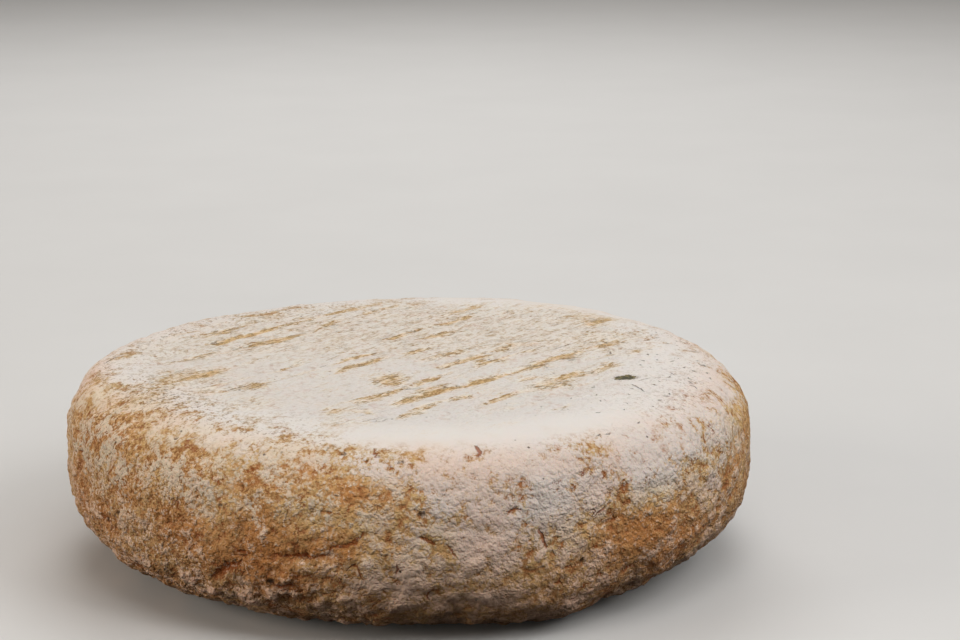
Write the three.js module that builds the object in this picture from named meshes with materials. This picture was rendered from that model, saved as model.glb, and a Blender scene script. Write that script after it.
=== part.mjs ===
// A small ripened cheese wheel with a natural rind, in one solid piece.
// Millimetres, +Z up. It stands on its underside, with the origin under its middle.

import * as THREE from 'three';
import { mergeVertices } from 'three/addons/utils/BufferGeometryUtils.js';

// The wheel's overall sizes.
const DIAMETER = 140;       // across the belly, at its longest, which lies along X
const OUT_OF_ROUND = 0.8;   // how much less it measures along Y
const HEIGHT = 39.2;

// The edge, seen in section: a rounded shoulder above the belly and a rounder foot below it.
const BELLY_HEIGHT = 21.5;  // where the wheel is widest, above its underside
const SHOULDER_INSET = 21;  // from the widest line in to the flat top
const SHOULDER_POWER = 3.2; // 2 is an ellipse, and more is squarer
const FOOT_INSET = 29;      // from the widest line in to the flat underside
const FOOT_POWER = 2.45;

// A wheel that is drained and turned by hand settles unevenly: the flats reach further out
// in some directions. Each wave is a number of lobes, a reach and the direction of one lobe.
const SHOULDER_WAVES = [
  { lobes: 1, reach: 1.8, degrees: 150 },
  { lobes: 3, reach: 3.2, degrees: 50 },
];
const FOOT_WAVES = [
  { lobes: 3, reach: 2.6, degrees: 50 },
  { lobes: 5, reach: 2.0, degrees: 5 },
];

// How finely the surface is faceted.
const AROUND = 96;
const FOOT_STEPS = 11;
const SHOULDER_STEPS = 12;

const COLOUR = '#cfb491';
const ROUGHNESS = 0.9;

const belly = DIAMETER / 2;
const topFlat = belly - SHOULDER_INSET;
const footFlat = belly - FOOT_INSET;

// One quarter of a superellipse, from its end on the flat (along, 0) to its end on the belly (0, up).
function quarter(along, up, power, steps) {
  return Array.from({ length: steps + 1 }, (_, i) => {
    const turn = (Math.PI / 2) * (i / steps);
    return {
      out: along * Math.sin(turn) ** (2 / power),
      rise: up * (1 - Math.max(0, Math.cos(turn)) ** (2 / power)),
    };
  });
}

// The section's outline, from the axis at the underside, round the edge, to the axis at the top.
function outline() {
  const foot = quarter(FOOT_INSET, BELLY_HEIGHT, FOOT_POWER, FOOT_STEPS)
    .map(({ out, rise }) => new THREE.Vector2(footFlat + out, rise));
  const shoulder = quarter(SHOULDER_INSET, HEIGHT - BELLY_HEIGHT, SHOULDER_POWER, SHOULDER_STEPS)
    .map(({ out, rise }) => new THREE.Vector2(topFlat + out, HEIGHT - rise))
    .reverse();
  return [new THREE.Vector2(0, 0), ...foot, ...shoulder.slice(1), new THREE.Vector2(0, HEIGHT)];
}

// How far a flat reaches out beyond its mean radius, in one direction.
function reach(waves, angle) {
  return waves.reduce((sum, wave) => {
    const from = THREE.MathUtils.degToRad(wave.degrees);
    return sum + wave.reach * Math.cos(wave.lobes * (angle - from));
  }, 0);
}

// The share of that reach which a point at this radius takes: all at the flat's edge,
// fading to none on the axis and at the belly.
function share(radius, flat) {
  return radius < flat ? radius / flat : (belly - radius) / (belly - flat);
}

// Moves each point of the turned wheel in or out along its own radius, then makes it out of round.
function settle(geometry) {
  const position = geometry.getAttribute('position');
  for (let i = 0; i < position.count; i += 1) {
    const x = position.getX(i);
    const y = position.getY(i);
    const radius = Math.hypot(x, y);
    const above = position.getZ(i) > BELLY_HEIGHT;
    const waves = above ? SHOULDER_WAVES : FOOT_WAVES;
    const moved = reach(waves, Math.atan2(y, x)) * share(radius, above ? topFlat : footFlat);
    const scale = radius > 0 ? 1 + moved / radius : 1;
    position.setX(i, x * scale);
    position.setY(i, y * scale * (1 - OUT_OF_ROUND / DIAMETER));
  }
}

// The turned outline as one closed surface: the seam is joined, and no triangle is left without area.
function turnedWheel() {
  const turned = new THREE.LatheGeometry(outline(), AROUND);
  turned.deleteAttribute('normal');
  turned.deleteAttribute('uv');
  turned.rotateX(Math.PI / 2);
  const joined = mergeVertices(turned, 1e-3);
  const corners = Array.from(joined.index.array);
  const kept = [];
  for (let i = 0; i < corners.length; i += 3) {
    const [a, b, c] = corners.slice(i, i + 3);
    if (a !== b && b !== c && c !== a) kept.push(a, b, c);
  }
  joined.setIndex(kept);
  return joined;
}

function cheeseWheel() {
  const geometry = turnedWheel();
  settle(geometry);
  geometry.computeVertexNormals();
  const rind = new THREE.MeshStandardMaterial({ color: COLOUR, roughness: ROUGHNESS, metalness: 0 });
  const mesh = new THREE.Mesh(geometry, rind);
  mesh.name = 'cheese_wheel';
  return mesh;
}

const wheel = new THREE.Group();
wheel.add(cheeseWheel());

export default wheel;
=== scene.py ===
"""A small ripened cheese wheel with a natural rind: white bloom over a tan and orange-brown crust.

The wheel is one closed surface. Its smooth form is the solid's own: a flat top, a rounded shoulder,
a belly, a rounder foot and a flat underside. Relief is then added along its normals: settling lumps
and bulges, the ridges of the draining mat on both flats, curd crumbs and lumps on the side, cracks
and pits. What the relief and the listed patches say about each point is stored as attributes.
The rind material reads them, and adds the grain, the speckle and the finest bump by itself. Lengths
are in millimetres up to the point where a mesh is made, which is in metres.
"""

import math
from types import SimpleNamespace

import bpy
import numpy as np
from mathutils import Matrix, Vector


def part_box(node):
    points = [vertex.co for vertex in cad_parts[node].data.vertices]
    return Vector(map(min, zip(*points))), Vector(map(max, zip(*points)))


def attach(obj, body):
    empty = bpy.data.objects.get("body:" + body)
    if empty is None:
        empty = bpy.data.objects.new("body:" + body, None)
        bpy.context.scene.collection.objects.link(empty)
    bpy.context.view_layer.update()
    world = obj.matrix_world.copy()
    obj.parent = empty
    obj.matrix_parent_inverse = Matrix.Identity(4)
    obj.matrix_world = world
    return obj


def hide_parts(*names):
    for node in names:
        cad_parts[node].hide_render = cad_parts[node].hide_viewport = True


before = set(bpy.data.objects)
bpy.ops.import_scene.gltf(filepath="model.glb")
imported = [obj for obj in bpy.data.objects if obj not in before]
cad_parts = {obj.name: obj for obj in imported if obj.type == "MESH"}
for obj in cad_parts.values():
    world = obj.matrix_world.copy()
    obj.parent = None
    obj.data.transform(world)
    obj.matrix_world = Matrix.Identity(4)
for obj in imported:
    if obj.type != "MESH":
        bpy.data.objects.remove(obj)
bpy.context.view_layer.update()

MM = 0.001
WHEEL = "cheese_wheel"

# ---------------------------------------------------------------- the wheel's form

low_corner, high_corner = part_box(WHEEL)
BELLY = (high_corner[0] - low_corner[0]) / 2 / MM    # radius at the widest line, along X
ACROSS = (high_corner[1] - low_corner[1]) / (high_corner[0] - low_corner[0])
HEIGHT = high_corner[2] / MM
BELLY_HEIGHT = 21.5
SHOULDER_INSET = 21.0
SHOULDER_POWER = 3.2
FOOT_INSET = 29.0
FOOT_POWER = 2.45
TOP_FLAT = BELLY - SHOULDER_INSET
FOOT_FLAT = BELLY - FOOT_INSET
# Lobes round the wheel, how far they reach, and the direction of one of them.
SHOULDER_WAVES = ((1, 1.8, 150), (3, 3.2, 50))
FOOT_WAVES = ((3, 2.6, 50), (5, 2.0, 5))

NET = 140             # steps across each flat, and along each quarter of the rim
RIM_ROWS = 106        # steps from the top flat's edge down to the underside's
SECTION_STEPS = 400   # how finely the section is walked to space those rows evenly

MAP_MARGIN = 0.004    # clear space round each part of the map, as a share of its width

MAT_DEGREES = 47      # the draining mat's direction across the top, from +X
BASE_MAT_DEGREES = 118
MAT_PITCH = 6.3       # from one of the mat's ridges to the next


def ramp(value, start, end):
    """0 before start, 1 past end, and a smooth S between. Start may be the larger of the two."""
    share = np.clip((value - start) / (end - start), 0, 1)
    return share * share * (3 - 2 * share)


def waves(table, angle):
    """The sum of cosine lobes round the wheel."""
    return sum(reach * np.cos(lobes * (angle - math.radians(toward))) for lobes, reach, toward in table)


def skin(angle, radius, height):
    """The smooth form: a point of the turned section, moved in or out by the waves of the flat it
    is nearest to. It takes all of a wave at the flat's edge, and none on the axis or at the belly."""
    above = height > BELLY_HEIGHT
    flat = np.where(above, TOP_FLAT, FOOT_FLAT)
    share = np.where(radius < flat, radius / flat, (BELLY - radius) / (BELLY - flat))
    reach = np.where(above, waves(SHOULDER_WAVES, angle), waves(FOOT_WAVES, angle))
    out = radius + share * reach
    return np.stack([out * np.cos(angle), out * np.sin(angle) * ACROSS, height + 0 * angle], -1)


def section():
    """The edge's section, as radius, height and distance walked, from the top flat's edge to the
    underside's: two superellipse quarters that meet at the belly."""
    turn = np.linspace(0, math.pi / 2, SECTION_STEPS)
    rise = 1 - np.cos(turn) ** (2 / SHOULDER_POWER)
    shoulder_radius = TOP_FLAT + SHOULDER_INSET * np.sin(turn) ** (2 / SHOULDER_POWER)
    shoulder_height = HEIGHT - (HEIGHT - BELLY_HEIGHT) * rise
    foot_radius = FOOT_FLAT + FOOT_INSET * np.sin(turn) ** (2 / FOOT_POWER)
    foot_height = BELLY_HEIGHT * (1 - np.cos(turn) ** (2 / FOOT_POWER))
    radius = np.concatenate([shoulder_radius, foot_radius[::-1][1:]])
    height = np.concatenate([shoulder_height, foot_height[::-1][1:]])
    walked = np.concatenate([[0], np.cumsum(np.hypot(np.diff(radius), np.diff(height)))])
    return radius, height, walked


SECTION_RADIUS, SECTION_HEIGHT, SECTION_WALKED = section()
EDGE_LENGTH = SECTION_WALKED[-1]


def at_drop(drop):
    """The section's radius and height at a distance walked down from the top flat's edge. Above it
    the distance is negative, and counts in over the top; past the foot it counts in under the base."""
    radius = np.interp(drop, SECTION_WALKED, SECTION_RADIUS)
    height = np.interp(drop, SECTION_WALKED, SECTION_HEIGHT)
    radius = radius + np.minimum(drop, 0) - np.maximum(drop - EDGE_LENGTH, 0)
    return radius, height


def on_rim(degrees, drop):
    """Points of the smooth form, from their direction round the wheel and their drop."""
    radius, height = at_drop(np.asarray(drop, float))
    return skin(np.radians(np.asarray(degrees, float)), radius, height)


# ---------------------------------------------------------------- one net over the whole wheel

def disc_net():
    """A square net drawn onto a disc: each square ring becomes a circle, and each of its sides a
    quarter turn. Gives the share of the radius and the angle at every crossing."""
    line = np.linspace(-1, 1, NET + 1)
    a, b = np.meshgrid(line, line, indexing="ij")
    reach = np.maximum(np.abs(a), np.abs(b))
    safe = np.where(reach == 0, 1, reach)
    wide = np.abs(a) >= np.abs(b)
    from_x = np.where(a >= 0, 0, math.pi) + math.pi / 4 * b / np.where(wide, a + (a == 0), safe)
    from_y = np.where(b >= 0, 1, 3) * math.pi / 2 - math.pi / 4 * a / np.where(wide, safe, b + (b == 0))
    return reach, np.where(wide, from_x, from_y)


def net_border():
    """The net's border crossings as flat indices, in order round the wheel from -45 degrees."""
    index = np.arange((NET + 1) ** 2).reshape(NET + 1, NET + 1)
    return np.concatenate([index[-1, :-1], index[::-1, -1][:-1], index[0, ::-1][:-1], index[:-1, 0]])


def quads(rows):
    """The four corners of every cell of a grid of vertex indices."""
    return np.stack([rows[:-1, :-1], rows[1:, :-1], rows[1:, 1:], rows[:-1, 1:]], -1).reshape(-1, 4)


def cells_of(width, depth, left, bottom, across, up):
    """UV corners for a grid of cells, laid in one rectangle of the map with a small margin."""
    u = left + MAP_MARGIN + (across - 2 * MAP_MARGIN) * np.arange(width + 1) / width
    v = bottom + MAP_MARGIN + (up - 2 * MAP_MARGIN) * np.arange(depth + 1) / depth
    grid = np.stack(np.meshgrid(u, v, indexing="ij"), -1)
    corners = [grid[:-1, :-1], grid[1:, :-1], grid[1:, 1:], grid[:-1, 1:]]
    return np.stack(corners, 2).reshape(-1, 4, 2)


def wheel_net():
    """The whole surface: a disc net on each flat, joined by a rim band of four quarters whose rows
    are evenly spaced down the section. Gives angle and drop at each vertex, faces, and their UVs."""
    reach, turn = disc_net()
    size = (NET + 1) ** 2
    border = net_border()
    top_drop = (reach * TOP_FLAT - TOP_FLAT).ravel()
    base_drop = (EDGE_LENGTH + FOOT_FLAT - reach * FOOT_FLAT).ravel()
    rim_turn = -math.pi / 4 + math.pi / 2 * np.arange(4 * NET) / NET
    rim_drop = EDGE_LENGTH * np.arange(1, RIM_ROWS) / RIM_ROWS
    angle = np.concatenate([turn.ravel(), np.tile(rim_turn, RIM_ROWS - 1), turn.ravel()])
    drop = np.concatenate([top_drop, np.repeat(rim_drop, 4 * NET), base_drop])

    top = np.arange(size).reshape(NET + 1, NET + 1)
    inner = size + np.arange((RIM_ROWS - 1) * 4 * NET).reshape(RIM_ROWS - 1, 4 * NET)
    base = size + inner.size + np.arange(size).reshape(NET + 1, NET + 1)
    rim = np.vstack([border[None], inner, border[None] + size + inner.size])
    rim = np.hstack([rim, rim[:, :1]])
    faces = [quads(top), quads(base)[:, ::-1]]
    maps = [cells_of(NET, NET, 0, 0.5, 0.5, 0.5), cells_of(NET, NET, 0.5, 0.5, 0.5, 0.5)[:, ::-1]]
    for quarter in range(4):
        columns = rim[:, quarter * NET:(quarter + 1) * NET + 1].T
        faces.append(quads(columns)[:, ::-1])
        left, bottom = 0.5 * (quarter % 2), 0.25 * (quarter // 2)
        maps.append(cells_of(NET, RIM_ROWS, left, bottom, 0.5, 0.25)[:, ::-1])
    return angle, drop, np.concatenate(faces), np.concatenate(maps)


def vertex_normals(points, faces):
    """Each vertex's normal: the sum of the crossed diagonals of the faces round it."""
    first, second, third, fourth = (points[faces[:, corner]] for corner in range(4))
    crossed = np.cross(third - first, fourth - second)
    total = np.zeros_like(points)
    for corner in range(4):
        for axis in range(3):
            total[:, axis] += np.bincount(faces[:, corner], crossed[:, axis], len(points))
    return total / np.linalg.norm(total, axis=1, keepdims=True)


# ---------------------------------------------------------------- noise in space

def scatter(cell, seed):
    """A repeatable number from 0 to 1 for each whole-numbered lattice point: its coordinates are
    multiplied by large odd numbers, joined, and folded over until no order is left."""
    x, y, z = ((cell[..., i].astype(np.int64) & 0xFFFFFFFF) for i in range(3))
    mixed = (x * 0x8DA6B343 ^ y * 0xD8163841 ^ z * 0xCB1AB31F ^ seed * 0x9E3779B1) & 0xFFFFFFFF
    for shift, factor in ((15, 0x2C1B3C6D), (12, 0x297A2D39)):
        mixed = ((mixed ^ (mixed >> shift)) * factor) & 0xFFFFFFFF
    return (mixed ^ (mixed >> 15)) / 0xFFFFFFFF


def billow(points, size, seed):
    """Gradient noise from about -1 to 1 with lumps of one size: a random slope at each lattice
    corner, blended between the eight corners with a smooth curve."""
    spot = points / size + seed * 17.31
    cell = np.floor(spot)
    part = spot - cell
    blend = part ** 3 * (part * (part * 6 - 15) + 10)
    total = 0
    for corner in np.ndindex(2, 2, 2):
        offset = np.array(corner)
        slope = np.stack([scatter(cell + offset, 3 * seed + axis) for axis in range(3)], -1) * 2 - 1
        weight = np.prod(np.where(offset, blend, 1 - blend), -1)
        total = total + weight * np.sum(slope * (part - offset), -1)
    return 1.6 * total


def clouds(points, size, seed, octaves=4, keep=0.5):
    """Billows of one size with finer and weaker ones added, each half as large as the last."""
    total, weight = 0, 1.0
    for octave in range(octaves):
        total = total + weight * billow(points, size / 2 ** octave, seed + octave)
        weight *= keep
    return total


def pebbles(points, size, seed):
    """Distance to the nearest and the next nearest of points strewn one to a cell, in cell sizes."""
    spot = points / size
    cell = np.floor(spot)
    nearest = np.full(len(points), 9.0)
    second = np.full(len(points), 9.0)
    for step in np.ndindex(3, 3, 3):
        there = cell + np.array(step) - 1
        centre = there + np.stack([scatter(there, 3 * seed + axis) for axis in range(3)], -1)
        gap = np.linalg.norm(spot - centre, axis=1)
        second = np.minimum(second, np.maximum(nearest, gap))
        nearest = np.minimum(nearest, gap)
    return nearest, second


# ---------------------------------------------------------------- patches, marks and spots

# Places on the side, as direction in degrees, drop, half length, half height, and how much thinner
# the bloom is there (or thicker, where that is below 0).
SIDE_PATCHES = (
    (-164, 27, 12, 9, 0.28), (-152, 23, 15, 5, 0.16), (-150, 31, 12, 6, 0.06), (-140, 20, 14, 4, 0.16),
    (-137, 28, 13, 6, 0.14), (-126, 34, 13, 5, 0.42), (-113, 33, 10, 5, 0.42), (-120, 38, 9, 3, 0.40),
    (-108, 42, 4, 4, 0.34), (-100, 32, 9, 4, 0.56), (-97, 24, 8, 3, 0.34), (-116, 23, 7, 2, 0.26),
    (-104, 21, 11, 4, 0.16), (-118, 12, 9, 2, 0.14), (-147, 38, 9, 4, 0.40), (-88.5, 15, 2.2, 2, 0.36),
    (-75, 41.5, 5, 3, 0.28), (-84, 34, 2.2, 1.6, 0.34), (-58, 33, 7, 3, 0.30), (-50, 36, 10, 4, 0.36),
    (-44, 32, 10, 3, 0.34), (-36, 26.5, 7, 1.8, 0.34), (-37, 38, 6, 3, 0.36), (-24, 29, 6, 5, 0.38),
    (-46, 42, 14, 5, 0.28), (-65, 16, 9, 2, 0.12), (-14, 25, 9, 5, 0.24), (-8, 38, 12, 6, 0.26),
    (-77, 31, 18, 10, -0.36), (-50, 22, 12, 5, -0.14), (-40, 30, 18, 9, -0.12), (-85, 50, 20, 8, 0.12),
    (-142, 47, 16, 7, 0.42), (-150, 11, 26, 6, 0.24), (-112, 15, 22, 5, 0.10), (-35, 8, 22, 7, -0.24),
    (-70, 19, 15, 6, -0.34), (-27, 14, 18, 7, -0.34), (-88, 20, 9, 4, -0.10), (-20, 8, 14, 8, -0.22),
    (-4, 11, 12, 8, -0.16), (-44, 19, 12, 5, -0.26), (-160, 36, 12, 5, 0.14), (172, 6, 12, 4, 0.16),
    (128, 5, 16, 5, 0.20), (96, 9, 12, 4, 0.16), (52, 4, 16, 4, 0.18), (18, 7, 12, 4, 0.14),
    (-33, 31, 3.4, 2.6, -0.40), (-138, 38, 9, 3, -0.22), (-97, 17, 8, 2.4, -0.22),
    (-60, 24, 12, 5, -0.18), (-90, 40, 13, 5, -0.14), (-118, 46, 13, 3, -0.24), (-52, 22, 14, 4, -0.12),
)
# The same on the top, as x, y, half length along the mat, half width, and wear.
TOP_PATCHES = (
    (-4, -16, 3.4, 2.6, 0.55), (-3, -20, 2.6, 1.4, 0.40), (-31, -21, 3.4, 2.2, 0.42), (-39, -24, 4, 2, 0.26),
    (4, -25, 4.6, 2.2, 0.46), (14, -19, 5.4, 1.5, 0.42), (24, -9, 5.5, 1.6, 0.42), (28, -21, 5.5, 3, 0.40),
    (33, -14, 3.5, 1.6, 0.34), (40, -8, 5.5, 2.4, 0.44), (32, 0, 2.2, 1.2, 0.44), (15, -2, 2.2, 1.2, 0.40),
    (8, 4, 6, 1.1, 0.34), (20, 9, 5, 1.4, 0.36), (48, 6, 2.4, 0.9, 0.7), (53, -14, 1.9, 1.7, 1.1),
    (46, -35, 1.4, 1.6, 1.0), (-1, -33, 3.4, 1.5, 0.36), (4, -37, 3, 0.9, 0.32), (-15, -40, 2.4, 1.3, 0.34),
    (-8, -41, 1, 2.4, 0.34), (-12, -50, 1, 2.4, 0.34), (33, -34, 1.6, 1.4, 0.20), (-52, -32, 9, 6, 0.22),
    (-50, -18, 10, 6, 0.30), (-44, -12, 8, 4, 0.22), (0, -46, 15, 7, -0.20), (30, -40, 16, 7, -0.30),
    (-25, -42, 9, 6, -0.24), (53, -3, 11, 9, -0.30), (52, -28, 10, 6, -0.16),
)
# Where the skin is coarser or smoother than its height alone makes it, given as on the side.
COARSE_PATCHES = (
    (-84, 5, 34, 9, -0.34), (-60, 9, 16, 7, -0.14), (-152, 12, 24, 11, 0.45), (-24, 12, 22, 8, 0.04),
    (-115, 14, 20, 7, 0.20), (-140, 43, 20, 8, 0.35), (-150, 28, 26, 10, 0.40), (-80, 30, 18, 12, -0.46),
    (-76, 46, 20, 9, -0.40), (-48, 20, 16, 8, -0.32), (150, 8, 40, 8, 0.20), (60, 8, 30, 8, -0.25),
)
# Cracks in the side: width, depth, and points given as direction and drop.
SIDE_CRACKS = (
    (0.34, 0.80, ((-111.6, 35.7), (-109, 35.4), (-105, 35.5), (-102.2, 35.0))),
    (0.30, 0.70, ((-102.2, 35.0), (-101.7, 33.2), (-98.6, 32.6), (-97.0, 32.8))),
    (0.20, 0.40, ((-97.9, 32.5), (-97.2, 31.2), (-97.0, 29.8))),
    (0.26, 0.50, ((-118.4, 34.9), (-116.6, 35.9), (-114.9, 36.0))),
    (0.60, 1.00, ((-123.4, 42.6), (-121.5, 41.4), (-119.6, 39.2), (-116.6, 37.6))),
    (0.30, 0.60, ((-89.0, 31.1), (-87.8, 31.7), (-86.4, 32.6))),
    (0.18, 0.35, ((-84.9, 32.6), (-84.3, 33.8), (-83.4, 35.0))),
    (0.32, 0.70, ((-70.3, 30.6), (-69.8, 32.6), (-69.2, 35.2))),
    (0.20, 0.45, ((-100.0, 38.2), (-98.5, 36.5), (-97.8, 37.6), (-97.1, 39.7))),
    (0.18, 0.40, ((-92.1, 36.1), (-92.5, 38.5))),
    (0.22, 0.45, ((-86.5, 41.2), (-87.6, 43.0), (-87.3, 44.6))),
    (0.20, 0.30, ((-75.6, 27.3), (-74.3, 26.9), (-73.0, 27.1))),
    (0.16, 0.25, ((-96.3, 12.6), (-96.0, 14.2), (-94.7, 15.6))),
    (0.34, 0.16, ((-79.1, 12.6), (-79.0, 14.4), (-79.0, 16.2))),
    (0.20, 0.45, ((-129.5, 28.2), (-128.0, 29.0), (-127.2, 30.4))),
    (0.30, 0.60, ((-112.6, 41.6), (-109.5, 42.4), (-107.2, 41.8))),
    (0.20, 0.35, ((-62.0, 28.9), (-60.4, 29.5), (-58.6, 29.0))),
    (0.18, 0.35, ((-66.5, 41.0), (-65.9, 43.3))),
    (0.24, 0.45, ((-149.0, 37.0), (-147.3, 37.8), (-145.8, 37.2))),
    (0.22, 0.45, ((-54.6, 42.4), (-53.5, 43.3), (-51.6, 43.4))),
    (0.22, 0.35, ((-36.4, 38.9), (-34.6, 39.4), (-33.2, 38.8))),
)
# Thin dark marks on the top and just over its edge: width, and points as x and y.
TOP_MARKS = (
    (0.22, ((35.8, -24.2), (36.3, -24.0))), (0.22, ((38.4, -24.1), (38.8, -23.9))),
    (0.22, ((48.0, -32.2), (48.8, -31.6))), (0.30, ((32.6, -2.4), (33.8, -1.8))),
    (0.14, ((43.6, -21.6), (44.8, -24.4), (46.2, -27.2))), (0.12, ((30.8, -1.4), (35.2, 0.4))),
    (0.13, ((24.0, -8.4), (26.5, -6.2), (28.8, -4.6))), (0.12, ((-2.0, -24.0), (2.4, -21.2))),
    (0.14, ((52.6, -12.4), (53.6, -13.8))), (0.14, ((55.6, -17.0), (56.4, -18.6))),
    (0.16, ((57.2, -8.0), (58.2, -9.2))), (0.13, ((49.6, -28.4), (50.6, -29.4))),
    (0.16, ((-59.5, 8.2), (-61.6, 5.0), (-63.2, 1.6))), (0.12, ((12.0, -21.5), (16.5, -18.0))),
)
# Pale curd lumps that stand out of the side, as direction, drop, radius and height.
SIDE_LUMPS = (
    (-112.8, 45.2, 1.7, 0.8), (-108.6, 44.4, 1.5, 0.7), (-104.6, 46.0, 1.9, 0.7), (-117.5, 46.6, 2.2, 0.9),
    (-123.5, 45.8, 1.8, 0.8), (-128.5, 44.0, 2.0, 0.7), (-109.8, 40.3, 1.1, 0.5), (-105.8, 42.2, 1.2, 0.6),
    (-100.5, 43.8, 1.4, 0.5), (-134, 42, 2.0, 0.6), (-96.6, 36.2, 1.3, 0.5), (-92, 45, 1.8, 0.5),
    (-79, 44, 2.0, 0.5), (-70, 46, 1.8, 0.6), (-61, 45, 2.0, 0.5), (-140, 40, 1.8, 0.5), (-86, 48, 2.2, 0.6),
    (-54.5, 38, 1.6, 0.5), (-47, 43, 1.8, 0.5), (-40, 40, 1.5, 0.4), (-114, 32.2, 2.4, 0.5),
    (-108, 31.4, 2.2, 0.4), (-137, 44.5, 1.6, 0.5), (-143, 42.5, 1.5, 0.5), (-120.5, 43.8, 1.3, 0.5),
    (-148, 41, 1.4, 0.45),
)
# Round pits in the side, as direction, drop, radius and depth.
SIDE_PITS = (
    (-143, 34.4, 0.60, 0.7), (-147.4, 37.2, 0.5, 0.7), (-112.2, 41.3, 0.6, 0.8), (-88.4, 26.8, 0.50, 0.6),
    (-63, 38.7, 0.45, 0.6), (-101.2, 14.6, 0.40, 0.6), (-97.2, 16.4, 0.30, 0.5), (-91.6, 16.5, 0.40, 0.55),
    (-116.5, 23.4, 0.35, 0.5), (-133, 17, 0.30, 0.5), (-120, 27.5, 0.35, 0.5), (-104.0, 13.8, 0.25, 0.45),
)
CHANCE_PATCHES = 34         # patches strewn over the back, from 4 to 186 degrees
CHANCE_STRENGTHS = (0.30, 0.24, -0.20)
SHOULDER_MARKS = 60         # tiny dark marks strewn over the right of the shoulder
MARK_DEGREES = (-62, 25)    # the stretch of shoulder that they lie on, as direction and drop
MARK_DROPS = (-5, 15)
LOOSE_CRACKS = 30           # small cracks strewn by chance round the side, between these drops
LOOSE_DROPS = (27, 52)
HAIRLINES = 24              # thin broken lines that the mat leaves on the top
BASE_HAIRLINES = 20
MARK_DEPTH, TOP_MARK_DEPTH, HAIRLINE_DEPTH = 0.08, 0.10, 0.16
STEP = 0.9                  # how finely a crack's path is walked
CRACK_REACH = 1.6           # how far from its line a crack is felt
CUT_HALF_WIDTH = 0.55       # how far out the groove that it cuts is a third as deep
ORANGE_BROWN, OLIVE_GREY = 0.0, 1.0     # the two ends of a crack's tint


def warped(points, amount, size, seed):
    """Points pushed about by clouds, so that what is drawn on them gets ragged edges."""
    push = [clouds(points, size, seed + 11 * axis, 3) for axis in range(3)]
    return points + amount * np.stack(push, -1)


def oval_patches(table, across, along):
    """The sum of soft oval patches. Across and along give the distances from a patch's centre."""
    total = 0
    for place_a, place_b, half_a, half_b, strength in table:
        a, b = across(place_a, place_b), along(place_a, place_b)
        total = total + strength * np.exp(-1.1 * ((a / half_a) ** 2 + (b / half_b) ** 2))
    return total


def round_wheel(points, drop):
    """How far points lie from a place on the side: round the wheel from its direction, and down
    from its drop."""
    angle = np.degrees(np.arctan2(points[:, 1], points[:, 0]))

    def from_direction(degrees, _):
        return math.radians(BELLY) * ((angle - degrees + 180) % 360 - 180)

    return from_direction, lambda _, level: drop - level


def chance_patches():
    """Patches for the back of the side, drawn by chance and given like the listed ones."""
    rng = np.random.default_rng(12)
    return tuple((rng.uniform(4, 186), rng.uniform(18, 46), rng.uniform(5, 15), rng.uniform(2, 6),
                  rng.choice(CHANCE_STRENGTHS)) for _ in range(CHANCE_PATCHES))


def side_wear(points, drop):
    """The patches on the side, measured round the wheel and down it."""
    moved = warped(points, 2.2, 7.0, 40)
    shifted = drop + 1.6 * clouds(points, 5.0, 71, 3)
    return oval_patches(SIDE_PATCHES + chance_patches(), *round_wheel(moved, shifted))


def mat_axes(points, degrees):
    """Distance along and across the mat's direction."""
    turn = math.radians(degrees)
    along = points[:, 0] * math.cos(turn) + points[:, 1] * math.sin(turn)
    across = points[:, 1] * math.cos(turn) - points[:, 0] * math.sin(turn)
    return along, across


def top_wear(points):
    """The patches on the top, each an oval that lies along the mat."""
    along, across = mat_axes(warped(points, 1.5, 5.0, 90), MAT_DEGREES)
    turn = math.radians(MAT_DEGREES)

    def from_along(x, y):
        return along - x * math.cos(turn) - y * math.sin(turn)

    def from_across(x, y):
        return across - y * math.cos(turn) + x * math.sin(turn)

    return oval_patches(TOP_PATCHES, from_along, from_across)


def mat_ridges(points, degrees, seed):
    """The mat's print: 1 on a crest and -1 in a trough, wavering along its length; how well it
    printed, which comes and goes over a few centimetres; and places in the mat's own measure, which
    is drawn out along the ridges."""
    along, across = mat_axes(points, degrees)
    stretched = np.stack([along * 0.3, across, 0.5 * points[:, 2] + 60 * seed], -1)
    phase = across / MAT_PITCH + 0.34 * clouds(stretched, 9.0, seed, 3)
    printed = ramp(clouds(stretched, 14.0, seed + 5, 3), -0.45, 0.5)
    return np.cos(2 * math.pi * phase), printed, stretched


def walked_path(points, seed, wander):
    """A path of short steps through the given points, wandering a little to either side."""
    points = np.asarray(points, float)
    lengths = np.linalg.norm(np.diff(points, axis=0), axis=1)
    reached = np.concatenate([[0], np.cumsum(lengths)])
    steps = np.linspace(0, reached[-1], max(3, int(reached[-1] / STEP) + 2))
    path = np.stack([np.interp(steps, reached, points[:, axis]) for axis in range(3)], -1)
    rng = np.random.default_rng(seed)
    swing = rng.normal(0, wander, (len(path), 3))
    swing[[0, -1]] = 0
    return path + swing


def degrees_round(length):
    """The angle in degrees that a length takes up round the belly."""
    return length / BELLY * 180 / math.pi


def side_cracks():
    """The listed cracks of the side."""
    found = []
    for number, (width, depth, points) in enumerate(SIDE_CRACKS):
        degrees, drop = np.array(points).T
        path = walked_path(on_rim(degrees, drop), number, 0.36)
        found.append((path, width, depth, ORANGE_BROWN))
    return found


def top_marks():
    """The listed marks of the top. Past the flat's edge they follow the shoulder down."""
    found = []
    for number, (width, points) in enumerate(TOP_MARKS):
        x, y = np.array(points).T
        past_edge = np.maximum(np.hypot(x, y / ACROSS) - TOP_FLAT, 0) * 1.03
        height = np.where(past_edge > 0, at_drop(past_edge)[1], HEIGHT)
        path = walked_path(np.stack([x, y, height], -1), 50 + number, 0.05)
        found.append((path, width, TOP_MARK_DEPTH, OLIVE_GREY))
    return found


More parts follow.
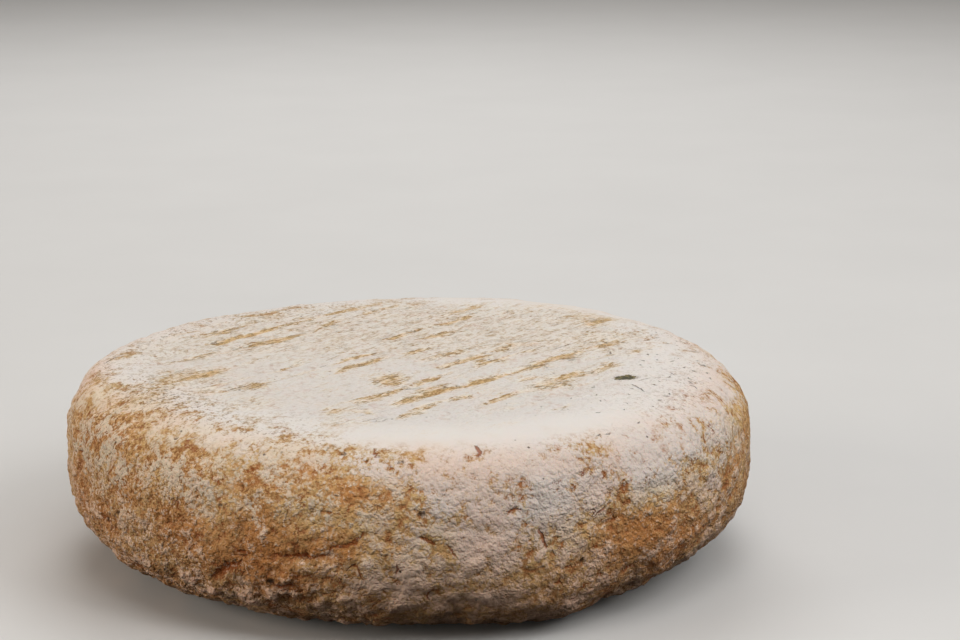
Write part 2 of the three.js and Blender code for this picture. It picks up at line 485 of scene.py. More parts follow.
def shoulder_marks():
    """Tiny straight marks strewn over the shoulder, most of them leaning up to the right."""
    found = []
    rng = np.random.default_rng(31)
    for number in range(SHOULDER_MARKS):
        degrees, drop = rng.uniform(*MARK_DEGREES), rng.uniform(*MARK_DROPS)
        length, lean = rng.uniform(0.3, 1.9), rng.normal(-0.5, 0.5)
        degrees = degrees + degrees_round(length * math.cos(lean)) * np.arange(2)
        drop = drop + length * math.sin(lean) * np.arange(2)
        path = walked_path(on_rim(degrees, drop), 300 + number, 0.05)
        found.append((path, rng.uniform(0.08, 0.22), MARK_DEPTH, OLIVE_GREY))
    return found


def loose_cracks(rng):
    """Small cracks with one bend each, strewn round the side, nearly level or nearly upright."""
    found = []
    for number in range(LOOSE_CRACKS):
        degrees, drop = rng.uniform(-180, 180), rng.uniform(*LOOSE_DROPS)
        length, lean = rng.uniform(0.8, 2.4), rng.choice((0.2, 1.45)) + rng.normal(0, 0.35)
        leans = np.array([lean, lean + rng.normal(0, 0.5)])
        turn = degrees_round(length * np.cos(leans))
        fall = length * np.sin(leans)
        steps_round = degrees + np.concatenate([[0], np.cumsum(turn)])
        steps_down = drop + np.concatenate([[0], np.cumsum(fall)])
        path = walked_path(on_rim(steps_round, steps_down), 100 + number, 0.12)
        found.append((path, rng.uniform(0.10, 0.24), rng.uniform(0.2, 0.5), rng.uniform(0, 0.2)))
    return found


def hairlines(count, degrees, height, limit, rng):
    """Thin lines that lie in the mat's troughs, broken into short lengths."""
    lines = []
    turn = math.radians(degrees)
    while len(lines) < count:
        across = MAT_PITCH * (rng.integers(-8, 9) + 0.5) + rng.normal(0, 1.0)
        along, length = rng.uniform(-limit, limit), rng.uniform(2.5, 11)
        drift = rng.normal(0, 0.12)
        a = np.linspace(along, along + length, 4)
        b = across + (a - along) * drift + rng.normal(0, 0.15, 4)
        x, y = a * math.cos(turn) - b * math.sin(turn), a * math.sin(turn) + b * math.cos(turn)
        if np.max(np.hypot(x, y)) > limit:
            continue
        path = walked_path(np.stack([x, y, 0 * x + height], -1), 900 + len(lines), 0.10)
        level = path * [1, 1, 0] + [0, 0, height]
        lines.append((level, rng.uniform(0.03, 0.09), HAIRLINE_DEPTH, rng.uniform(0.5, 0.9)))
    return lines


def crack_paths():
    """Every crack and mark as its path in space, width, depth and tint."""
    rng = np.random.default_rng(5)
    found = side_cracks() + top_marks() + shoulder_marks() + loose_cracks(rng)
    found += hairlines(HAIRLINES, MAT_DEGREES, HEIGHT, TOP_FLAT + 3, rng)
    found += hairlines(BASE_HAIRLINES, BASE_MAT_DEGREES, 0.0, FOOT_FLAT - 2, rng)
    return found


def crack_fields(points, normals):
    """For each vertex, of the nearest crack: the signed distance to its line; its width, which
    tapers towards its ends and fades with distance; the depth that it is cut to; and its tint. The
    sign tells one side of the line from the other, so that between two vertices
    the line itself is where the distance passes through 0."""
    closest = np.full(len(points), CRACK_REACH)
    across, width, cut, tint = (np.zeros(len(points)) for _ in range(4))
    for path, crack_width, depth, crack_tint in crack_paths():
        low, high = path.min(0) - CRACK_REACH, path.max(0) + CRACK_REACH
        near = np.flatnonzero(np.all((points > low) & (points < high), axis=1))
        if len(near) == 0:
            continue
        here, normal = points[near], normals[near]
        best, side, place = (np.full(len(near), 9.0) for _ in range(3))
        for number, (start, end) in enumerate(zip(path[:-1], path[1:])):
            step = end - start
            from_start = here - start
            share = np.clip(from_start @ step / (step @ step), 0, 1)
            away = from_start - share[:, None] * step
            away = away - np.sum(away * normal, 1)[:, None] * normal
            gap = np.linalg.norm(away, axis=1)
            nearer = gap < best
            sign = np.sign(np.sum(normal * np.cross(step, from_start), 1))
            best = np.where(nearer, gap, best)
            side = np.where(nearer, sign * gap, side)
            place = np.where(nearer, (number + share) / (len(path) - 1), place)
        taper = np.clip(np.sin(math.pi * np.clip(place, 0, 1)), 0, 1) ** 0.6
        taken = best < closest[near]
        index = near[taken]
        closest[index] = best[taken]
        across[index] = side[taken]
        width[index] = (crack_width * taper * ramp(best, CRACK_REACH, CRACK_REACH / 2))[taken]
        cut[index] = (depth * taper * np.exp(-(best / CUT_HALF_WIDTH) ** 2))[taken]
        tint[index] = crack_tint
    return across, width, cut, tint


# ---------------------------------------------------------------- the rind's relief and what it shows

# Lumps in the outline of the foot, as direction, half width in degrees, drop and reach.
FOOT_LUMPS = ((-64, 9, 52, 1.1), (-97, 4, 52, 0.7), (-84, 3.4, 53, -0.7), (-51, 3, 50, -0.7),
              (-148, 9, 48, -0.2), (-119, 8, 55, 0.5), (30, 10, 52, 0.8), (75, 6, 50, -0.7),
              (118, 9, 52, 0.9), (160, 6, 50, -0.6))
FLECK = (43.2, -16.8)       # a dark fleck of mould on the top, and how it lies
FLECK_DEGREES, FLECK_HALF_LENGTH, FLECK_HALF_WIDTH = 25, 2.9, 2.0


def coarseness(points, drop, top, base):
    """How coarse the skin is, from smooth near 0 to rough at 1 and more: 0.4 on the top, 0.3 on the
    shoulder and growing to 1 down the side, less on the underside, and then changed by the
    listed patches and by clouds."""
    coarse = 0.40 * top + (1 - top) * (0.30 + 0.70 * ramp(drop, 8, 24)) - 0.4 * base
    coarse = coarse + oval_patches(COARSE_PATCHES, *round_wheel(points, drop))
    return np.clip(coarse + 0.12 * clouds(points, 16, 27, 3), 0.05, 1.4)


def crumbliness(points, drop):
    """Where the curd shows as crumbs: a band round the lower side, which thins out above the belly
    and towards the foot, with clouds that shift its borders."""
    band = ramp(drop, 20, 38) * ramp(drop, 68, 54)
    return np.clip(band + 0.35 * clouds(points, 18, 25, 3), 0, 1) * ramp(drop, 12, 24)


def swellings(points, angle, drop):
    """The wheel's own unevenness, and the lumps along its foot as soft bells."""
    swell = 0.40 * clouds(points, 30, 1, 3) + 0.14 * clouds(points, 9, 4, 3)
    for degrees, spread, level, reach in FOOT_LUMPS:
        off = (np.degrees(angle) - degrees + 180) % 360 - 180
        swell = swell + reach * np.exp(-(off / spread) ** 2 - ((drop - level) / 9) ** 2)
    return swell


def crumbs(points, curd):
    """Crumbs of two sizes, highest at their middles, less the seams between the big ones. How far
    they stand out comes and goes over a centimetre."""
    near_big, next_big = pebbles(curd, 3.0, 61)
    near_small, _ = pebbles(curd, 1.7, 62)
    strength = 0.55 + 0.75 * ramp(clouds(points, 7, 67, 2), -0.4, 0.5)
    grains = strength * (0.50 * (0.62 - near_big) + 0.38 * (0.6 - near_small))
    seams = -0.30 * strength * ramp(next_big - near_big, 0.25, 0.0)
    return grains + seams


def curd_lumps(curd):
    """The pale lumps: full height near the middle of each, and gone a quarter past its radius."""
    lumps = 0
    for degrees, level, radius, height in SIDE_LUMPS:
        off = np.linalg.norm(curd - on_rim(degrees, level), axis=1)
        lumps = lumps + height * ramp(off, radius * 1.25, radius * 0.35)
    return lumps


def side_pits(points):
    """The round pits: deepest at the middle of each, and gone 0.6 past its radius."""
    pits = 0
    for degrees, level, radius, depth in SIDE_PITS:
        off = np.linalg.norm(points - on_rim(degrees, level), axis=1)
        pits = pits + depth * ramp(off, radius + 0.6, 0.0)
    return pits


def fleck_field(points, drop):
    """The fleck as an oval cone: 1 at its middle, 0 at its edge, and down to -1 outside it."""
    turn = math.radians(FLECK_DEGREES)
    from_fleck = points[:, :2] - FLECK
    along = (from_fleck @ [math.cos(turn), math.sin(turn)]) / FLECK_HALF_LENGTH
    aside = (from_fleck @ [-math.sin(turn), math.cos(turn)]) / FLECK_HALF_WIDTH
    return np.where(drop < 5, np.clip(1 - np.hypot(along, aside), -1, 1), -1)


def rind(points, normals, angle, drop):
    """Works out the relief and the attributes at every vertex. Top and base say how far a point
    belongs to either flat. Wear grows down the side, in the patches, in the mat's troughs and on
    the underside, and is less on the lumps."""
    top = ramp(drop + 5.0 * clouds(points, 16, 81, 3), 11, -7)
    base = ramp(drop, EDGE_LENGTH - 6, EDGE_LENGTH + 2)
    crest, printed, grain = mat_ridges(points, MAT_DEGREES, 3)
    base_crest, base_printed, base_grain = mat_ridges(points, BASE_MAT_DEGREES, 8)
    coarse = coarseness(points, drop, top, base)
    rough_share = np.clip(coarse, 0, 1)
    crumbly = crumbliness(points, drop) * rough_share

    bulges = rough_share * (0.36 * clouds(points, 6.5, 91, 2) + 0.16 * clouds(points, 12, 93, 2))
    print_height = 0.30 * top * printed * crest + 0.30 * base * base_printed * base_crest
    curd = warped(points, 0.5, 2.5, 60)
    crumb = crumbs(points, curd)
    rough = 0.34 * clouds(points, 4.0, 30, 3)
    fine = (0.06 + 0.94 * crumbly) * crumb + (0.08 + 0.92 * coarse) * rough
    lumps = curd_lumps(curd)
    pits = side_pits(points)
    across, width, cut, tint = crack_fields(points, normals)
    relief = swellings(points, angle, drop) + bulges + print_height + fine + lumps - cut - pits
    # How far each point lies in a recess. The rind material thins the bloom there and paints shade there
    # too: painted shade in the crevices, which the bump cannot cast.
    hollow = -crumb * 1.6 * crumbly - 0.6 * rough - 1.1 * bulges - 0.8 * lumps + 1.2 * cut + 2.0 * pits

    patches = side_wear(points, drop)
    wear = 0.08 + 0.34 * ramp(drop, 7, 24) + 0.16 * ramp(drop, 22, 34) + 1.15 * patches
    wear = wear + 0.22 * clouds(points, 14, 50, 4) * ramp(drop, 2, 18) - 0.35 * lumps
    trough = ramp(crest, 0.3, -0.7) * printed
    base_trough = ramp(base_crest, 0.3, -0.7) * base_printed
    broken = ramp(clouds(grain, 5.0, 55, 3), -0.1, 0.5)
    base_broken = ramp(clouds(base_grain, 5.0, 56, 3), -0.3, 0.4)
    streaks = top * (0.08 + 0.50 * trough * broken) + 1.15 * top * top_wear(points)
    to_back = top * ramp(points[:, 1], -8, 12) * (0.10 + 0.30 * trough * broken)
    under = base * (0.40 + 0.30 * base_trough * base_broken)
    wear = wear * (1 - 0.75 * top) + streaks + to_back + under
    near_edge = ramp(drop, -14, 4) * ramp(drop, 16, 6)
    wear = wear + 0.16 * near_edge * ramp(clouds(points, 11, 83, 3), -0.1, 0.6)
    ochre = 0.35 + 0.9 * np.clip(patches, -0.3, 0.5) + 0.25 * clouds(points, 10, 65, 3)
    # Darker and browner towards the foot: partly the rind's own browner foot, partly painted shade on the
    # lower side.
    dusk = ramp(drop, 22, 50) + 0.25 * clouds(points, 16, 66, 3)

    return relief, {
        "wear": wear, "ochre": np.clip(ochre, 0, 1), "dusk": np.clip(dusk, 0, 1),
        "coarse": coarse, "hollow": hollow, "pit": np.clip(1.5 * pits, 0, 1),
        "fleck": fleck_field(points, drop), "mat": np.clip(top + base, 0, 1),
        "tan": np.clip(ramp(drop, 22, 6) + base, 0, 1),
        "mat_place": np.where(drop[:, None] < EDGE_LENGTH / 2, grain, base_grain),
        "crack_across": across, "crack_width": width, "crack_tint": tint,
    }


def make_wheel():
    """Builds the wheel's mesh: the net laid on the smooth form, moved along its normals by the
    relief, kept within the solid's box and flat where it stands."""
    angle, drop, faces, maps = wheel_net()
    radius, height = at_drop(drop)
    smooth = skin(angle, radius, height)
    normals = vertex_normals(smooth, faces)
    relief, attributes = rind(smooth, normals, angle, drop)
    points = smooth + normals * relief[:, None]
    points[:, 0] = np.clip(points[:, 0], -BELLY, BELLY)
    points[:, 1] = np.clip(points[:, 1], -BELLY * ACROSS, BELLY * ACROSS)
    points[:, 2] = np.clip(points[:, 2], 0, HEIGHT)

    mesh = bpy.data.meshes.new("natural_rind_wheel")
    mesh.from_pydata([], [], [])
    mesh.vertices.add(len(points))
    mesh.vertices.foreach_set("co", (points * MM).ravel())
    mesh.loops.add(faces.size)
    mesh.loops.foreach_set("vertex_index", faces.ravel())
    mesh.polygons.add(len(faces))
    mesh.polygons.foreach_set("loop_start", np.arange(len(faces)) * 4)
    mesh.polygons.foreach_set("use_smooth", np.ones(len(faces), bool))
    uv = mesh.uv_layers.new(name="OFBake")
    mesh.update(calc_edges=True)
    uv.data.foreach_set("uv", maps.ravel())
    for name, values in attributes.items():
        kind, field = ("FLOAT", "value") if values.ndim == 1 else ("FLOAT_VECTOR", "vector")
        layer = mesh.attributes.new(name, kind, "POINT")
        layer.data.foreach_set(field, values.astype(np.float32).ravel())
    mesh.validate()
    wheel = bpy.data.objects.new("natural_rind_wheel", mesh)
    bpy.context.scene.collection.objects.link(wheel)
    return wheel


# ---------------------------------------------------------------- materials

class Graph:
    """A node tree with short ways to add nodes. A value for an input is a socket or a constant."""

    def __init__(self, tree):
        self.tree = tree
        tree.nodes.clear()

    def add(self, kind, inputs=None, **settings):
        node = self.tree.nodes.new(kind)
        for name, value in settings.items():
            setattr(node, name, value)
        for name, value in (inputs or {}).items():
            self.feed(node.inputs[name], value)
        return node

    def feed(self, socket, value):
        if isinstance(value, bpy.types.NodeSocket):
            self.tree.links.new(value, socket)
        else:
            socket.default_value = value

    def math(self, operation, *values):
        node = self.add("ShaderNodeMath", operation=operation)
        for index, value in enumerate(values):
            self.feed(node.inputs[index], value)
        return node.outputs[0]

    def sum(self, *terms):
        """Adds up terms, each a socket or a pair of a socket and its factor."""
        total = None
        for term in terms:
            if isinstance(term, tuple):
                term = self.math("MULTIPLY", *term)
            total = term if total is None else self.math("ADD", total, term)
        return total

    def times(self, first, *factors):
        """Multiplies the factors in turn."""
        for factor in factors:
            first = self.math("MULTIPLY", first, factor)
        return first

    def less(self, start, value):
        """Start less the value."""
        return self.math("SUBTRACT", start, value)

    def ramp(self, value, start, end, low=0.0, high=1.0):
        """Low before start, high past end, and a smooth S between."""
        node = self.add("ShaderNodeMapRange", interpolation_type="SMOOTHSTEP")
        for name, given in (("Value", value), ("From Min", start), ("From Max", end),
                            ("To Min", low), ("To Max", high)):
            self.feed(node.inputs[name], given)
        return node.outputs[0]

    def blend(self, share, first, second):
        """The first colour at a share of 0, and the second at 1."""
        node = self.add("ShaderNodeMix", data_type="RGBA")
        for index, value in ((0, share), (6, first), (7, second)):
            self.feed(node.inputs[index], value)
        return node.outputs[2]

    def attribute(self, name):
        return self.add("ShaderNodeAttribute", attribute_name=name).outputs["Fac"]

    def noise(self, place, size, detail=2.0, roughness=0.5, shift=0.0, output="Fac"):
        """Noise from 0 to 1 around 0.5, with lumps of a size in millimetres."""
        moved = self.add("ShaderNodeVectorMath", {0: place, 1: (shift, shift * 0.7, shift * 0.3)},
                         operation="ADD").outputs[0]
        node = self.add("ShaderNodeTexNoise", {"Vector": moved, "Scale": 1 / size, "Detail": detail,
                                               "Roughness": roughness})
        return node.outputs[output]

    def cells(self, place, size, output="Distance"):
        """Cells of a size in millimetres: the distance to their middles, or a chance colour."""
        return self.add("ShaderNodeTexVoronoi", {"Vector": place, "Scale": 1 / size}).outputs[output]


def srgb(red, green, blue):
    """A colour given as it looks on a screen, from 0 to 255, as linear light."""
    def linear(part):
        part /= 255
        return part / 12.92 if part <= 0.04045 else ((part + 0.055) / 1.055) ** 2.4
    return (linear(red), linear(green), linear(blue), 1.0)


# The bloom, from the shoulder's white to what shows towards the foot and on the flats.
BLOOM_WHITE = srgb(227, 221, 215)
BLOOM_ROSY = srgb(232, 217, 206)
BLOOM_CREAM = srgb(233, 214, 189)
# Pinker, darker bloom towards the foot: partly its own tone, partly painted shade.
BLOOM_FOOT_AND_SHADE = srgb(239, 194, 165)
# Pale warm specks: partly bloom granules, partly painted highlights on grains that face the light.
PALE_SPECK_AND_HIGHLIGHT = srgb(244, 210, 182)
BLOOM_PAPER = srgb(246, 236, 221)
BLOOM_TAN = srgb(238, 212, 178)
# The bare crust under it.
RIND_GOLD = srgb(226, 190, 132)
RIND_ORANGE = srgb(208, 142, 80)
# Browner crust towards the foot, partly painted shade.
RIND_BROWN = srgb(164, 110, 68)
# The darkest crust, laid where the rind lies low: partly its own colour, partly painted shade.
DEEP_CRUST_AND_SHADE = srgb(150, 80, 28)
RIND_TAN = srgb(192, 162, 110)
RIND_OLIVE = srgb(156, 120, 68)
MAT_TAN = srgb(222, 186, 132)
# Painted shade for the crevices; cracks and holes darkened partly by painted shade; specks and the fleck.
CREVICE_SHADE = srgb(186, 122, 76)
# Cracks and splits: partly the orange crust they open onto, partly painted shade inside them.
CRACK_ORANGE_AND_SHADE = srgb(150, 74, 22)
CRACK_OLIVE = srgb(134, 104, 60)
MARK_GREY = srgb(98, 86, 62)
# Near-black brown for pits and pinholes: painted shade inside them.
PINHOLE_SHADE = srgb(72, 52, 32)
PEPPER_OLIVE = srgb(120, 94, 58)
PEPPER_BROWN = srgb(146, 92, 44)
FLECK_GREEN = srgb(66, 62, 38)
FLECK_OLIVE = srgb(142, 128, 80)


def rind_grain(g):
    """What the rind's looks are worked out from: the mesh's attributes, and noise that lies round 0,
    from patches several millimetres across down to specks of less than half a millimetre. Drawn and
    thread run along the mat. Crumb and bead are lowest at the middles of big and small grains, shade
    gives each small grain its own grey, and lump is the relief of them all."""
    r = SimpleNamespace()
    for name in ("wear", "ochre", "dusk", "coarse", "hollow", "mat", "tan", "pit", "fleck"):
        setattr(r, name, g.attribute(name))
    r.place = g.add("ShaderNodeVectorMath", {0: g.add("ShaderNodeTexCoord").outputs["Object"],
                                             "Scale": 1 / MM}, operation="SCALE").outputs[0]
    mat_place = g.add("ShaderNodeAttribute", attribute_name="mat_place").outputs["Vector"]
    stray = g.noise(r.place, 1.6, 2.0, output="Color")
    r.strayed = g.add("ShaderNodeVectorMath", {0: stray, 1: (1.1, 1.1, 1.1), 2: r.place},
                      operation="MULTIPLY_ADD").outputs[0]

    def centred(value):
        return g.less(value, 0.5)

    r.patch = centred(g.noise(r.place, 7.5, 3.0, 0.6, shift=13))
    r.tuft = centred(g.noise(r.place, 3.4, 4.0, 0.62, shift=5))
    r.grain = centred(g.noise(r.place, 1.3, 3.0, 0.62))
    r.speck = centred(g.noise(r.place, 0.42, 2.0, 0.6, shift=31))
    r.drawn = centred(g.noise(mat_place, 1.9, 5.0, 0.68))
    r.thread = centred(g.noise(mat_place, 0.5, 2.0, 0.6))
    r.vein = centred(g.noise(r.place, 4.2, 4.0, 0.62, shift=77))
    crumb = centred(g.cells(r.strayed, 1.3))
    r.bead = centred(g.cells(r.strayed, 0.62))
    r.shade = centred(g.cells(r.strayed, 0.62, output="Color"))
    r.lump = g.sum((r.tuft, 0.55), (r.grain, 0.7), (crumb, -0.54), (r.bead, -0.24))
    return r


def rind_cuts(g, r):
    """Cracks, from the signed distance to their lines, made ragged by the finest grain. Short
    natural splits, where a cloud passes through its middle value. Thin lines along the mat."""
    jagged = g.sum(g.attribute("crack_across"), (r.speck, 0.6), (r.grain, 0.8))
    width = g.attribute("crack_width")
    inside = g.less(g.math("ABSOLUTE", jagged), width)
    crack = g.times(g.ramp(inside, 0.12, -0.12), g.ramp(width, 0.01, 0.08))
    split = g.times(g.ramp(g.math("ABSOLUTE", r.vein), 0.018, 0.004), g.ramp(r.tuft, -0.02, -0.10),
                    g.ramp(r.coarse, 0.45, 0.9))
    line = g.times(g.ramp(g.math("ABSOLUTE", r.drawn), 0.035, 0.008), g.ramp(r.wear, 0.06, 0.40),
                   r.mat, g.ramp(r.tuft, -0.04, 0.10))
    return crack, split, line


def bloom_cover(g, r):
    """How much bloom covers each point: what wear leaves of it, made uneven by clouds and grains on
    the side, and along the mat on the flats. Hollows lose it first."""
    aside = g.sum((r.grain, 1.0), (r.speck, 0.9), (r.shade, 0.8), (r.bead, -0.5), (r.tuft, 3.0),
                  (r.patch, 2.3), (r.hollow, -0.24))
    aside = g.times(aside, g.sum(g.ramp(r.coarse, 0.0, 0.6), (g.ramp(r.coarse, 0.9, 1.4), 0.8)))
    along = g.sum((r.drawn, 2.8), (r.grain, 1.2), (r.thread, 2.6), (r.shade, 0.5))
    along = g.times(along, g.ramp(r.wear, -0.02, 0.36))
    uneven = g.sum(g.times(along, r.mat), g.times(aside, g.less(1.0, r.mat)))
    return g.ramp(g.sum(g.less(1.0, r.wear), uneven), 0.05, 0.95)


def crust_colour(g, r, crevice_crust_and_shade):
    """Bare crust: gold to orange, browner towards the foot, partly painted shade, and dark orange-brown
    where the rind lies low, partly its own colour and partly painted shade in the crevices. It is tan to
    olive on the shoulder and the flats, where the mat's fibres show, the olive partly painted shade."""
    crust = g.blend(g.ramp(g.sum(r.ochre, (r.tuft, 1.2)), 0.1, 0.9), RIND_GOLD, RIND_ORANGE)
    # Browner towards the foot: partly the crust's own colour, partly painted shade.
    crust = g.blend(g.times(r.dusk, 0.55), crust, RIND_BROWN)
    crust = g.blend(g.times(crevice_crust_and_shade, 0.9), crust, DEEP_CRUST_AND_SHADE)
    crust = g.blend(g.times(r.tan, 0.85), crust, g.blend(crevice_crust_and_shade, RIND_TAN, RIND_OLIVE))
    fibre = g.ramp(g.sum(r.thread, (r.drawn, 0.9), (r.speck, 0.5)), 0.06, -0.22)
    return g.blend(g.times(r.mat, 0.9), crust, g.blend(fibre, MAT_TAN, RIND_OLIVE))


def bloom_colour(g, r):
    """Bloom: rosy white to cream where it wears, pinker and darker towards the foot, partly painted shade,
    and white on the smooth shoulder. On the flats it is papery to tan, mottled along the mat."""
    white = g.blend(g.ramp(r.wear, 0.15, 0.6), BLOOM_ROSY, BLOOM_CREAM)
    # Towards the foot the bloom turns pinker and darker: partly its own tone, partly painted shade.
    white = g.blend(g.times(g.math("POWER", r.dusk, 0.6), 0.85), white, BLOOM_FOOT_AND_SHADE)
    white = g.blend(g.times(r.tan, g.ramp(r.coarse, 0.9, 0.3)), white, BLOOM_WHITE)
    white = g.blend(g.times(r.mat, g.ramp(r.wear, 0.0, 0.35, 0.0, 0.6)), white, BLOOM_PAPER)
    white = g.blend(g.times(r.mat, g.ramp(r.wear, 0.22, 0.75, 0.0, 0.75)), white, BLOOM_TAN)
    mottle = g.ramp(g.sum((r.thread, 0.8), (r.speck, 0.8), (r.drawn, 0.8)), 0.0, -0.35)
    mottle = g.times(mottle, r.mat, g.ramp(g.sum(r.wear, (r.patch, 1.6)), 0.02, 0.34), 0.6)
    return g.blend(mottle, white, MAT_TAN)


def speckled(g, r, colour):
    """Dark specks like pepper, on the coarse shoulder and wherever the skin is coarsest; pale warm
    specks beside them, partly bloom granules and partly painted highlights; and small olive dots on the
    shoulder."""
    pepper = g.ramp(g.sum(r.speck, (r.shade, 0.4), (r.grain, 0.5), (r.patch, 0.4)), -0.02, -0.26)
    peppered = g.math("MAXIMUM", g.times(r.tan, g.ramp(r.coarse, 0.08, 0.6)),
                      g.ramp(r.coarse, 0.85, 1.25))
    peppered = g.times(peppered, g.less(0.85, g.times(r.mat, 0.7)))
    colour = g.blend(g.times(pepper, peppered), colour, g.blend(r.tan, PEPPER_BROWN, PEPPER_OLIVE))
    # Pale warm specks on coarse skin: partly bloom granules, partly painted highlights.
    salt_and_highlight = g.ramp(g.sum(r.speck, (r.shade, 0.4), (r.grain, 0.5), (r.patch, 0.25)), 0.04, 0.28)
    colour = g.blend(g.times(salt_and_highlight, g.ramp(r.coarse, 0.75, 1.2), 0.75), colour, PALE_SPECK_AND_HIGHLIGHT)
    dots = g.times(g.ramp(g.cells(r.strayed, 1.9), 0.17, 0.08), g.ramp(r.patch, -0.02, 0.10),
                   r.tan, g.ramp(r.coarse, 0.12, 0.35), 0.55)
    return g.blend(dots, colour, CRACK_OLIVE)


def pinholes(g, r):
    """Chance pinholes, one to a cell where a tuft is high, and the pits that the mesh has."""
    holes = g.times(g.ramp(g.cells(r.place, 2.9), 0.12, 0.06), g.ramp(r.tuft, 0.02, 0.14))
    return g.math("MAXIMUM", holes, g.ramp(g.sum(r.pit, (r.speck, 1.0)), 0.25, 0.6))


def mould_fleck(g, r):
    """The dark fleck with a ragged edge: where it is, and its colour, olive at the rim."""
    raised = g.sum(r.fleck, (r.grain, 1.4), (r.speck, 1.0))
    inner = g.ramp(g.sum(raised, (r.speck, 1.2)), 0.20, 0.42)
    return g.ramp(raised, 0.08, 0.20), g.blend(inner, FLECK_OLIVE, FLECK_GREEN)


def fine_relief(g, r):
    """Bump in millimetres: grains, faint on the flats, and there the mat's threads."""
    grains = g.times(g.sum((r.lump, 0.85), (r.speck, 0.26)), r.coarse)
    emboss = g.sum((r.drawn, 0.8), (r.grain, 0.4), (r.thread, 0.35), (r.speck, 0.12))
    return g.sum(g.times(grains, g.less(1.0, g.times(r.mat, 0.8))), g.times(emboss, r.mat))


def rind_material():
    """The rind: crust, the bloom that lies over it, painted shade in the crevices, cracks partly darkened
    by painted shade, speckle with some painted highlights, pinholes painted dark as shade, and the
    fleck, each blended over the last. Bloom is rougher than bare crust, and both let a little light through."""
    material = bpy.data.materials.new("natural_rind")
    material.use_nodes = True
    g = Graph(material.node_tree)
    r = rind_grain(g)
    bloom = bloom_cover(g, r)
    # Where the rind lies low: the crust's dark orange-brown, and painted shade in the crevices.
    crevice_crust_and_shade = g.ramp(g.sum((r.lump, -1.7), (r.tuft, -2.1), (r.patch, -1.2), (r.speck, -0.8),
                        (r.shade, -0.5), (r.hollow, 0.50)), 0.05, 1.25)
    colour = g.blend(bloom, crust_colour(g, r, crevice_crust_and_shade), bloom_colour(g, r))
    # Warm painted shade in the crevices of coarse skin, over crust and bloom alike.
    colour = g.blend(g.times(crevice_crust_and_shade, g.ramp(r.coarse, 0.0, 0.7), 0.5), colour, CREVICE_SHADE)

    crack, split, line = rind_cuts(g, r)
    # Cracks and splits turn orange-brown, partly their own colour and partly painted shade inside them;
    # marks turn grey.
    crack_colour = g.blend(g.attribute("crack_tint"), CRACK_ORANGE_AND_SHADE, MARK_GREY)
    colour = g.blend(g.times(g.math("MAXIMUM", crack, split), 0.8), colour, crack_colour)
    colour = g.blend(g.times(line, 0.8), colour, CRACK_OLIVE)
    colour = speckled(g, r, colour)
    holes = pinholes(g, r)
    # Pits and pinholes painted near black: painted shade inside them.
    colour = g.blend(g.times(holes, 0.85), colour, PINHOLE_SHADE)
    fleck, fleck_colour = mould_fleck(g, r)
    colour = g.blend(g.times(fleck, 0.95), colour, fleck_colour)

    height = g.sum(fine_relief(g, r), (bloom, 0.06), (crack, -0.30), (split, -0.12), (line, -0.15),
                   (holes, -0.2), (fleck, 0.15))
    bump = g.add("ShaderNodeBump", {"Height": height, "Distance": MM, "Strength": 1.0})
    shader = g.add("ShaderNodeBsdfPrincipled", {
        "Base Color": colour, "Roughness": g.ramp(bloom, 0.0, 1.0, 0.62, 0.92),
        "Normal": bump.outputs["Normal"], "Specular IOR Level": 0.2,
        "Subsurface Weight": 0.12, "Subsurface Radius": (1.0, 0.55, 0.3), "Subsurface Scale": MM})
    out = g.add("ShaderNodeOutputMaterial")
    g.tree.links.new(shader.outputs[0], out.inputs["Surface"])
    return material


def floor_material():
    """A plain pale board with the faintest unevenness."""
    material = bpy.data.materials.new("pale_floor")
    material.use_nodes = True
    g = Graph(material.node_tree)
    place = g.add("ShaderNodeTexCoord").outputs["Object"]
    cloud = g.noise(place, 0.05, 3.0)
    colour = g.blend(cloud, srgb(214, 213, 211), srgb(220, 219, 217))
    shader = g.add("ShaderNodeBsdfPrincipled", {"Base Color": colour, "Roughness": 0.8})
    out = g.add("ShaderNodeOutputMaterial")
    g.tree.links.new(shader.outputs[0], out.inputs["Surface"])
    return material


# ---------------------------------------------------------------- floor, light and camera

FLOOR_RADIUS = 3            # in metres, like every length below but the lens and its sensor
FLOOR_GAP = 0.0001          # how far it lies under the wheel


def make_floor():
    """A wide round floor just under the wheel, which throws no light back onto it."""
    turn = np.linspace(0, 2 * math.pi, 96, endpoint=False)
    ring = np.stack([FLOOR_RADIUS * np.cos(turn), FLOOR_RADIUS * np.sin(turn), 0 * turn - FLOOR_GAP], -1)
    mesh = bpy.data.meshes.new("floor")
    mesh.from_pydata(ring.tolist(), [], [list(range(len(ring)))])
    mesh.materials.append(floor_material())
    floor = bpy.data.objects.new("floor", mesh)
    bpy.context.scene.collection.objects.link(floor)
    floor.visible_diffuse = False


def area_light(name, place, target, size, power):
    """A round lamp at a place, turned to its target."""
    light = bpy.data.lights.new(name, "AREA")
    light.shape = "DISK"
    light.size = size
    light.energy = power
    lamp = bpy.data.objects.new(name, light)
    lamp.location = place
    lamp.rotation_euler = (Vector(target) - Vector(place)).to_track_quat("-Z", "Y").to_euler()
    bpy.context.scene.collection.objects.link(lamp)
    return light


PLAIN, WARM = (1.0, 1.0, 1.0), (1.0, 0.93, 0.84)
# Each lamp's direction round the wheel from the front, its height in degrees, its power and colour.
LAMPS = (("front", 15, 65, 2.05, PLAIN), ("right", 60, 40, 3.9, PLAIN), ("left", -75, 15, 4.5, WARM),
         ("back", 180, 40, 2.9, PLAIN))
LAMP_DISTANCE, LAMP_SIZE, LAMP_TARGET = 0.95, 0.6, (0, 0, 0.02)
ROOM_COLOUR, ROOM_STRENGTH = (1.0, 0.94, 0.88, 1), 0.22


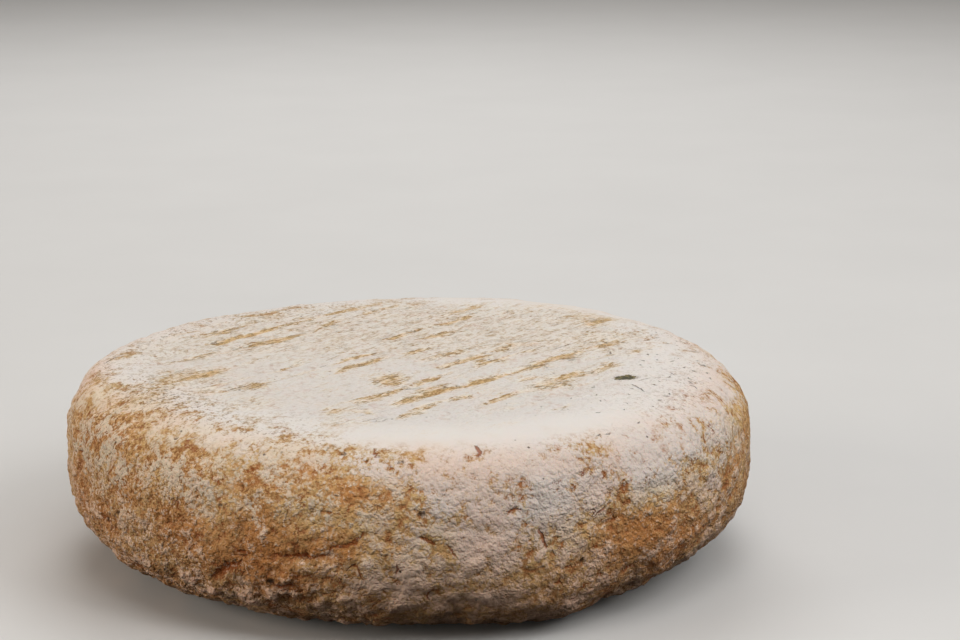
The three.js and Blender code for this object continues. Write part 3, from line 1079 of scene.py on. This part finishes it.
def make_light():
    """Four soft lamps: one high at the front, one at the right, a warm one low at the left that
    rakes the side, and one behind. The room is pale overhead and dark below."""
    for name, toward, rise, power, colour in LAMPS:
        turn, rise = math.radians(toward), math.radians(rise)
        way = Vector((math.cos(rise) * math.sin(turn), -math.cos(rise) * math.cos(turn), math.sin(rise)))
        lamp = area_light(name, LAMP_DISTANCE * way, LAMP_TARGET, LAMP_SIZE, power)
        lamp.color = colour
    world = bpy.data.worlds.new("room")
    world.use_nodes = True
    g = Graph(world.node_tree)
    toward = g.add("ShaderNodeSeparateXYZ", {0: g.add("ShaderNodeTexCoord").outputs["Generated"]})
    strength = g.ramp(toward.outputs["Z"], -0.05, 0.05, 0.0, ROOM_STRENGTH)
    sky = g.add("ShaderNodeBackground", {"Color": ROOM_COLOUR, "Strength": strength})
    out = g.add("ShaderNodeOutputWorld")
    g.tree.links.new(sky.outputs[0], out.inputs["Surface"])
    bpy.context.scene.world = world


CAMERA_ELEVATION = 16.15        # degrees above level
CAMERA_DISTANCE = 0.553
CAMERA_LENS, CAMERA_SENSOR = 100, 36
CAMERA_ROLL = 0.20              # degrees
AIM_RIGHT, AIM_UP = 0.0147, 0.0270      # from the wheel's middle to what the camera looks at


def make_camera():
    """Looks from the front and a little above, past the wheel, which lies low and left in view."""
    middle = Vector((0, 0, HEIGHT / 2 * MM))
    rise = math.radians(CAMERA_ELEVATION)
    back = Vector((0, -math.cos(rise), math.sin(rise)))
    right, up = Vector((1, 0, 0)), Vector((0, math.sin(rise), math.cos(rise)))
    place = middle + CAMERA_DISTANCE * back
    ahead = middle + AIM_RIGHT * right + AIM_UP * up - place
    camera = bpy.data.cameras.new("camera")
    camera.lens = CAMERA_LENS
    camera.sensor_width = CAMERA_SENSOR
    holder = bpy.data.objects.new("camera", camera)
    roll = Matrix.Rotation(math.radians(-CAMERA_ROLL), 4, "Z")
    turned = ahead.to_track_quat("-Z", "Y").to_matrix().to_4x4()
    holder.matrix_world = Matrix.Translation(place) @ turned @ roll
    bpy.context.scene.collection.objects.link(holder)
    bpy.context.scene.camera = holder


make_camera()
make_light()
make_floor()
bpy.context.scene.view_settings.view_transform = "Standard"

cheese = make_wheel()
cheese.data.materials.append(rind_material())
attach(cheese, "root")
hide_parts(WHEEL)
